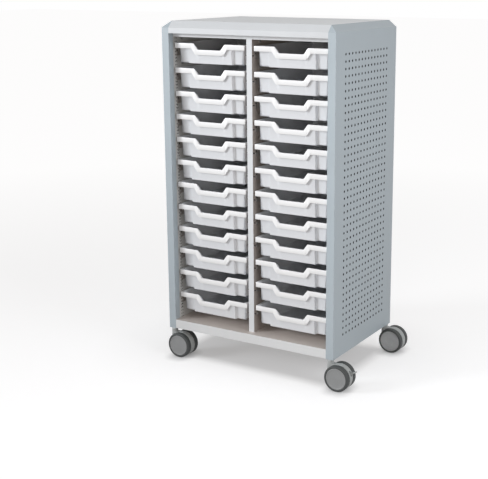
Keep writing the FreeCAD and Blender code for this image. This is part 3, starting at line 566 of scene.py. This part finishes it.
def front_places():
    """Places across the tray's front: an even run, and more of them where its lines bend."""
    bends = [LEDGE_HALF - LEDGE_SOFT, LEDGE_HALF + LEDGE_SOFT]
    for middle in (BULGE_HALF, BULGE_HALF + BULGE_SLOPE):
        bends += [middle + share * BULGE_SOFT for share in (-1, 0, 1)]
    for middle in (DIP_TOP, DIP_BOTTOM, DIP_TOP + DIP_FLARE, DIP_BOTTOM + DIP_FLARE):
        bends += [middle + share * DIP_SOFT for share in (-1, -0.5, 0, 0.5, 1)]
    even = np.linspace(-FRONT_REACH, FRONT_REACH, FRONT_PLACES)
    return np.unique(np.round(np.concatenate([even, bends, np.negative(bends)]), 6))


def tray_stations():
    """The tray's section from its underside to its inner floor.
    Each station: 0 for the rim's plan or 1 for the body's, inset, height, then four shares.
    The shares lower the height by the handle's line, by the ledge's line and by the lip's line,
    and the last pair moves the station inwards and up by the rounding's radius."""
    floor = BODY_HEIGHT - WALL
    stations = []
    for turn in np.radians(np.linspace(90, 0, 4)):
        stations.append((1, 0, -BODY_HEIGHT, 0, 0, 0, 1 - math.cos(turn), 1 - math.sin(turn)))
    stations += [
        (1, 0, -RIM_THICK - RIM_FILLET_UP, 0, 1, 0, 0, 0),
        (1, -RIM_FILLET_OUT, -RIM_THICK, 0, 1, 0, 0, 0),
        (0, LIP_THICK + RIM_CLEAR, -RIM_THICK, 0, 1, 0, 0, 0),
        (0, LIP_THICK, RIM_TOP_ROUND, 0, 0, 1, 0, 0),
        (0, LIP_THICK - RIM_ROUND, 0, 0, 0, 1, 0, 0),
        (0, RIM_TOP_ROUND, 0, 0, 0, 1, 0, 0),
        (0, 0, RIM_ROUND, 0, 0, 1, 0, 0),
    ]
    for turn in np.radians(np.linspace(0, 90, 4)):
        stations.append((0, 0, 0, 1, 0, 0, 1 - math.cos(turn), math.sin(turn) - 1))
    stations += [
        (0, LIP_THICK, 0, 1, 0, 0, 0, 0),
        (0, LIP_THICK + 0.1 * MM, 0, 0, 1, 0, 0, 0),
    ]
    for turn in np.radians(np.linspace(0, 90, 3)):
        inset = WALL - EDGE_ROUND * (1 - math.sin(turn))
        stations.append((1, inset, -EDGE_ROUND * (1 - math.cos(turn)), 0, 1, 0, 0, 0))
    for turn in np.radians(np.linspace(0, 90, 4)):
        stations.append((1, WALL, -floor, 0, 0, 0, 1 - math.cos(turn), 1 - math.sin(turn)))
    return np.array(stations)


def tray_points():
    """The tray about the middle of its lip's top front edge, one ring of points per station.
    The plan is a rounded rectangle whose half, front and back change with the inset. The body's plan
    also draws in with its depth, by the draft at the front and back and by the lean at the sides,
    and its front is moved forward by the bulge."""
    kind, inset, height, dip_share, ledge_share, lip_share, turn_in, turn_up = tray_stations().T[:, :, None]
    is_body = kind == 1
    plan_corner = np.maximum(np.where(is_body, BODY_CORNER, RIM_CORNER) - inset, SMALLEST_CORNER)
    across = front_places()
    turn = np.radians(np.linspace(-90, 0, CORNER_PLACES))[None, :]
    side = np.array(SIDE_SHARES)[None, :]
    rear = np.array(BACK_SHARES)[None, :]
    right = slice(across.size, across.size + turn.size + side.size)
    bend = slice(right.start, right.start + turn.size)
    straight = slice(bend.stop, right.stop)
    behind = slice(right.stop, right.stop + 2 * turn.size + rear.size)
    tail = slice(behind.start, behind.start + turn.size)
    middle = slice(tail.stop, behind.stop - turn.size)
    others = behind.stop - behind.start + 2 * (turn.size + side.size)

    at_front = np.concatenate([np.ones(across.size), np.zeros(others)])[None, :]
    place = np.concatenate([across, np.zeros(others)])[None, :]
    bulge = at_front * front_bulge(place)
    handle = at_front * handle_dip(place, 0)
    shelf = at_front * np.clip((LEDGE_HALF + LEDGE_SOFT - np.abs(place)) / (2 * LEDGE_SOFT), 0, 1)
    ledge = np.maximum(LEDGE_DROP * shelf, handle)
    fade = np.array([1.0] * turn.size + [LIP_FADE] + [0.0] * (side.size - 1))
    none = np.zeros(behind.stop - behind.start)
    lip = np.concatenate([np.ones(across.size), fade, none, fade[::-1]])[None, :]
    drop = (RIM_THICK + RIM_CLEAR) * (1 - lip) + LIP_DROP * lip + at_front * handle_dip(place, DIP_FLARE)
    foot_radius = FOOT_ROUND + (BULGE_FOOT_ROUND - FOOT_ROUND) * bulge / BULGE_DEEP
    radius = np.where(is_body, foot_radius, LIP_ROUND)
    z = height + turn_up * radius - dip_share * handle - ledge_share * ledge - lip_share * drop

    depth = np.where(is_body, -z, 0)
    inwards = inset + turn_in * radius
    half = np.where(is_body, BODY_HALF, LIP_HALF) - inwards - SIDE_LEAN * depth
    front = np.where(is_body, BODY_FRONT, 0.0) + inwards + DRAFT * depth
    back = np.where(is_body, BODY_FRONT + BODY_LENGTH, RIM_LENGTH) - inwards - DRAFT * depth
    start, stop = front + plan_corner, back - plan_corner
    x, y = place + 0 * half, front - np.where(is_body, bulge, 0)
    x[:, right] = half[:, right]
    x[:, bend] += plan_corner * (np.cos(turn) - 1)
    y[:, bend] = start[:, bend] + plan_corner * np.sin(turn)
    y[:, straight] = start[:, straight] + (stop - start)[:, straight] * side
    far_x = half[:, tail] - plan_corner + plan_corner * np.cos(turn + math.pi / 2)
    far_y = stop[:, tail] + plan_corner * np.sin(turn + math.pi / 2)
    x[:, behind] = np.hstack([far_x, (half[:, middle] - plan_corner) * (1 - 2 * rear), -far_x[:, ::-1]])
    y[:, behind] = np.hstack([far_y, back[:, middle], far_y[:, ::-1]])
    x[:, behind.stop:] = -x[:, right][:, ::-1]
    y[:, behind.stop:] = y[:, right][:, ::-1]
    x = x + RIM_SWELL * (1 - lip) * np.sign(x) * (kind == 0) * (np.abs(x) > LIP_HALF / 2)
    return np.stack([x, y, z], axis=-1)


def make_tray(name, points):
    """One moulded tray that stands for its CAD node and slides with it."""
    low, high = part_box(name)
    origin = np.array([(low.x + high.x) / 2, low.y, high.z])
    piece = surface(f"{name}_moulding", points + origin, cap_first=True, cap_last=True, sharp_degrees=50)
    # The lip value picks out the lips' front band, which gets painted light
    painted_light_value = piece.data.attributes.new("lip", "FLOAT", "POINT")
    for vertex, value in zip(piece.data.vertices, painted_light_value.data):
        value.value = 1.0 if vertex.co.y < low.y + LIP_THICK - LIP_MARGIN else 0.0
    paint(piece, TRAY_PLASTIC)
    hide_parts(name)
    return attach(piece, name)


def make_trays():
    """All the trays, from one set of points."""
    points = tray_points()
    for name in TRAYS:
        make_tray(name, points)


# ---------------------------------------------------------------- castors

TREAD_RADIUS = 49 * MM
TREAD_WIDE = 21.5 * MM
SHOULDER = 5 * MM
DISC_RADIUS = 39.9 * MM
SEAT_RADIUS = 36 * MM
AXLE_CLEAR = 4.2 * MM


def tyre_profile():
    """Tread, rounded shoulders and the step down to the disc, as (radius, depth from the hood side)."""
    outer = arc(TREAD_RADIUS - SHOULDER, TREAD_WIDE - SHOULDER, SHOULDER, 0, 80, 7)
    inner = arc(TREAD_RADIUS - SHOULDER, SHOULDER, SHOULDER, -80, 0, 7)
    crown = [(TREAD_RADIUS, TREAD_WIDE * share) for share in (0.4, 0.6)]
    step = [
        (DISC_RADIUS + 1.6 * MM, TREAD_WIDE - 0.3 * MM),
        (DISC_RADIUS + 0.5 * MM, TREAD_WIDE - 0.9 * MM),
        (DISC_RADIUS + 0.3 * MM, TREAD_WIDE - 2.2 * MM),
        (SEAT_RADIUS, TREAD_WIDE - 2.4 * MM),
        (SEAT_RADIUS, 0.3 * MM),
    ]
    return inner + crown + outer + step


def disc_profile():
    """The wheel's centre: chamfered rim, shallow dish, boss, and a ribbed inner side."""
    face = TREAD_WIDE - 1.4 * MM
    return [
        (0.0, face),
        (9 * MM, face),
        (10 * MM, face - 0.15 * MM),
        (33.5 * MM, face - 0.1 * MM),
        (35.5 * MM, face + 0.3 * MM),
        (37.2 * MM, TREAD_WIDE - 0.1 * MM),
        (38.6 * MM, TREAD_WIDE - 0.1 * MM),
        (DISC_RADIUS, TREAD_WIDE - 1.0 * MM),
        (DISC_RADIUS, TREAD_WIDE - 2.3 * MM),
        (SEAT_RADIUS - 0.1 * MM, TREAD_WIDE - 2.5 * MM),
        (SEAT_RADIUS - 0.1 * MM, 0.5 * MM),
        (SEAT_RADIUS - 3 * MM, 0.2 * MM),
        (SEAT_RADIUS - 4 * MM, 5 * MM),
        (12 * MM, 5 * MM),
        (11 * MM, 0.1 * MM),
        (AXLE_CLEAR, 0.1 * MM),
        (AXLE_CLEAR, TREAD_WIDE - 3 * MM),
        (0.0, TREAD_WIDE - 3 * MM),
    ]


def make_wheel(name):
    """A tyre and a centre that stand for one wheel node and roll with it."""
    low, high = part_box(name)
    outward = -1 if name.endswith("_front") else 1
    hood_side = high.y if outward < 0 else low.y
    centre = ((low.x + high.x) / 2, hood_side, (low.z + high.z) / 2)
    body = name.replace("castor_", "")
    tyre = turned(f"{name}_tyre", tyre_profile(), centre, outward, close=True)
    disc = turned(f"{name}_centre", disc_profile(), centre, outward, sharp_degrees=25)
    paint(tyre, TREAD_RUBBER)
    paint(disc, DISC_PLASTIC)
    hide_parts(name)
    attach(tyre, body)
    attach(disc, body)


def make_wheels():
    """All the castor wheels."""
    for name in WHEELS:
        make_wheel(name)


# ---------------------------------------------------------------- cabinet finishes


def paint_cabinet():
    """Materials for the CAD nodes whose shapes stay."""
    finishes = {
        "panel": PANEL_PAINT,
        "rail": PANEL_PAINT,
        "liner": LINER_PAINT,
        "head_liner": DIVIDER_PAINT,
        "back_panel": SHADED_INSIDE_PAINT,
        "top_panel": CARCASS_PAINT,
        "base_pan": BASE_PAINT,
        "centre_divider": DIVIDER_PAINT,
        "runners": RUNNER_PAINT,
        "fixings": SCREW_ZINC,
        "pins": PIN_PLASTIC,
        "stems": STEM_ZINC,
        "axle": STEM_ZINC,
        "hood": HOOD_PLASTIC,
        "lever": HOOD_PLASTIC,
    }
    for name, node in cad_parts.items():
        for word, material in finishes.items():
            if word in name:
                paint(node, material)


# ---------------------------------------------------------------- stage, light and camera

CAMERA_PLACE = (2011.44 * MM, -3130.62 * MM, 1474.19 * MM)
CAMERA_TURN = math.radians(30.126)
CAMERA_DIP = math.radians(12.96)
IMAGE_WIDE = 488
IMAGE_HIGH = 479
FOCAL_PIXELS = 1037.48
AXIS_PIXEL = (292.28, 212.10)
SENSOR_WIDE = 36.0


def make_camera():
    """The camera stands right of the front and looks slightly down at the cabinet."""
    data = bpy.data.cameras.new("camera")
    data.sensor_width = SENSOR_WIDE
    data.lens = FOCAL_PIXELS / IMAGE_WIDE * SENSOR_WIDE
    data.shift_x = (IMAGE_WIDE / 2 - AXIS_PIXEL[0]) / IMAGE_WIDE
    data.shift_y = (AXIS_PIXEL[1] - IMAGE_HIGH / 2) / IMAGE_WIDE
    camera = bpy.data.objects.new("camera", data)
    camera.location = from_front(*CAMERA_PLACE)
    camera.rotation_euler = (math.pi / 2 - CAMERA_DIP, 0, CAMERA_TURN)
    bpy.context.scene.collection.objects.link(camera)
    bpy.context.scene.camera = camera


AMBIENT = 0.36
WHITE = (1.0, 1.0, 1.0, 1.0)
SHADE_TINT = (1.0, 0.965, 0.935, 1.0)
COOL = (0.97, 1.0, 1.03)
WARM = (1.0, 0.93, 0.88)
# Each lamp: place and aim in metres from the middle of the cabinet's front at the floor,
# side in metres, power in watts, colour and how wide its light spreads, in degrees
LAMPS = {
    "key": ((-3.6, -3.35, 2.2), (0.35, 0.0, 1.05), 1.8, 14.3, COOL, 41),
    "front_fill": ((1.6, -2.6, 1.2), (0.0, 0.0, 0.7), 0.8, 18.0, WARM, 180),
    "side_fill": ((2.9, -0.4, 1.7), (0.36, 0.24, 0.7), 1.5, 28.0, COOL, 180),
    "castor_fill": ((0.78, -0.12, 0.06), (0.375, 0.44, 0.05), 0.05, 0.011, COOL, 12),
}
FLOOR_REACH = 30.0
FLOOR_ROUGH = 0.9
# The floor's colour in the light it throws back, and the one that the eye gets
FLOOR_THROWN = (0.40, 0.38, 0.37, 1.0)
FLOOR_SHOWN = (0.5, 0.5, 0.51, 1.0)
FLOOR_GLOW = 0.33
FOOTPRINT = (0.32, 0.195, 0.0)
# Each rise of the floor's glow, kept low near the cabinet as a painted shadow: from and to in metres from
# the footprint, and how much
PAINTED_SHADOW_RISES = ((0.0, 0.06, 0.26), (0.0, 0.4, 0.08), (0.4, 4.0, 0.13))
# Painted shadow round the wheels: near each wheel's tread on the floor the glow fades to this share, over
# this distance in metres
PAINTED_WHEEL_SHADOW_SHARE = 0.45
PAINTED_WHEEL_SHADOW_REACH = 0.05
PAINTED_WHEEL_SHADOW_HALF = (0.012, 0.011, 0.0)


def seen_directly(tree):
    """1 for camera, glossy and transmission rays, and 0 for the light that falls on things."""
    path = tree.nodes.new("ShaderNodeLightPath")
    seen = computed(tree, "MAXIMUM", path.outputs["Is Camera Ray"], path.outputs["Is Glossy Ray"])
    return computed(tree, "MAXIMUM", seen, path.outputs["Is Transmission Ray"])


def make_world():
    """A white surround that is seen at 1 and lights the object at AMBIENT."""
    world = bpy.data.worlds.new("studio")
    world.use_nodes = True
    bpy.context.scene.world = world
    tree = world.node_tree
    background = tree.nodes["Background"]
    seen = seen_directly(tree)
    tree.links.new(blend_colours(tree, seen, SHADE_TINT, WHITE), background.inputs["Color"])
    tree.links.new(ranged(tree, seen, AMBIENT, 1.0), background.inputs["Strength"])


def make_lamps():
    """A key lamp from the front left, two fills from the right and a small one for the rear castor."""
    for name, (place, aim, side, power, colour, spread) in LAMPS.items():
        data = bpy.data.lights.new(name, "AREA")
        data.shape = "SQUARE"
        data.size = side
        data.energy = power
        data.color = colour
        data.spread = math.radians(spread)
        lamp = bpy.data.objects.new(name, data)
        lamp.location = from_front(*place)
        towards = Vector(aim) - Vector(place)
        lamp.rotation_euler = towards.to_track_quat("-Z", "Y").to_euler()
        lamp.visible_camera = False
        bpy.context.scene.collection.objects.link(lamp)


def glow_with_painted_shadow(tree):
    """The floor's glow: it rises with the distance from the cabinet and fades near the wheels, which paints
    a shadow under the cabinet and round the wheels.
    """
    middle = (CENTRE_X, (CABINET_LOW.y + CABINET_HIGH.y) / 2, 0.0)
    away = grouped(tree, BOX, Middle=middle, Half=FOOTPRINT)["Distance"]
    glow = FLOOR_GLOW
    for near, far, rise in PAINTED_SHADOW_RISES:
        glow = computed(tree, "ADD", ranged(tree, away, 0.0, rise, near, far), glow)
    for name in WHEELS:
        low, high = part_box(name)
        under = ((low.x + high.x) / 2, (low.y + high.y) / 2, 0.0)
        distance = grouped(tree, BOX, Middle=under, Half=PAINTED_WHEEL_SHADOW_HALF)["Distance"]
        painted_wheel_shadow = mask_below(tree, distance, 0.0, PAINTED_WHEEL_SHADOW_REACH)
        glow = computed(tree, "MULTIPLY", glow, ranged(tree, painted_wheel_shadow, 1.0, PAINTED_WHEEL_SHADOW_SHARE))
    return glow


def make_floor():
    """A pale floor that reads as white away from the cabinet and keeps the soft shadow under it, deepened
    there by the glow's painted shadow.
    It throws back less light than it shows."""
    mesh = bpy.data.meshes.new("floor")
    corners = [(x * FLOOR_REACH, y * FLOOR_REACH, 0) for x, y in ((-1, -1), (1, -1), (1, 1), (-1, 1))]
    mesh.from_pydata(corners, [], [(0, 1, 2, 3)])
    floor = bpy.data.objects.new("floor", mesh)
    bpy.context.scene.collection.objects.link(floor)
    material, tree, shader = start_material("floor")
    seen = seen_directly(tree)
    tree.links.new(blend_colours(tree, seen, FLOOR_THROWN, FLOOR_SHOWN), shader.inputs["Base Color"])
    shader.inputs["Roughness"].default_value = FLOOR_ROUGH
    shader.inputs["Specular IOR Level"].default_value = 0.0
    shader.inputs["Emission Color"].default_value = WHITE
    shown = computed(tree, "MULTIPLY", seen, glow_with_painted_shadow(tree))
    tree.links.new(shown, shader.inputs["Emission Strength"])
    paint(floor, material)


bpy.context.scene.view_settings.view_transform = "Standard"
make_camera()
make_world()
make_lamps()
make_floor()
paint_cabinet()
make_trays()
make_wheels()
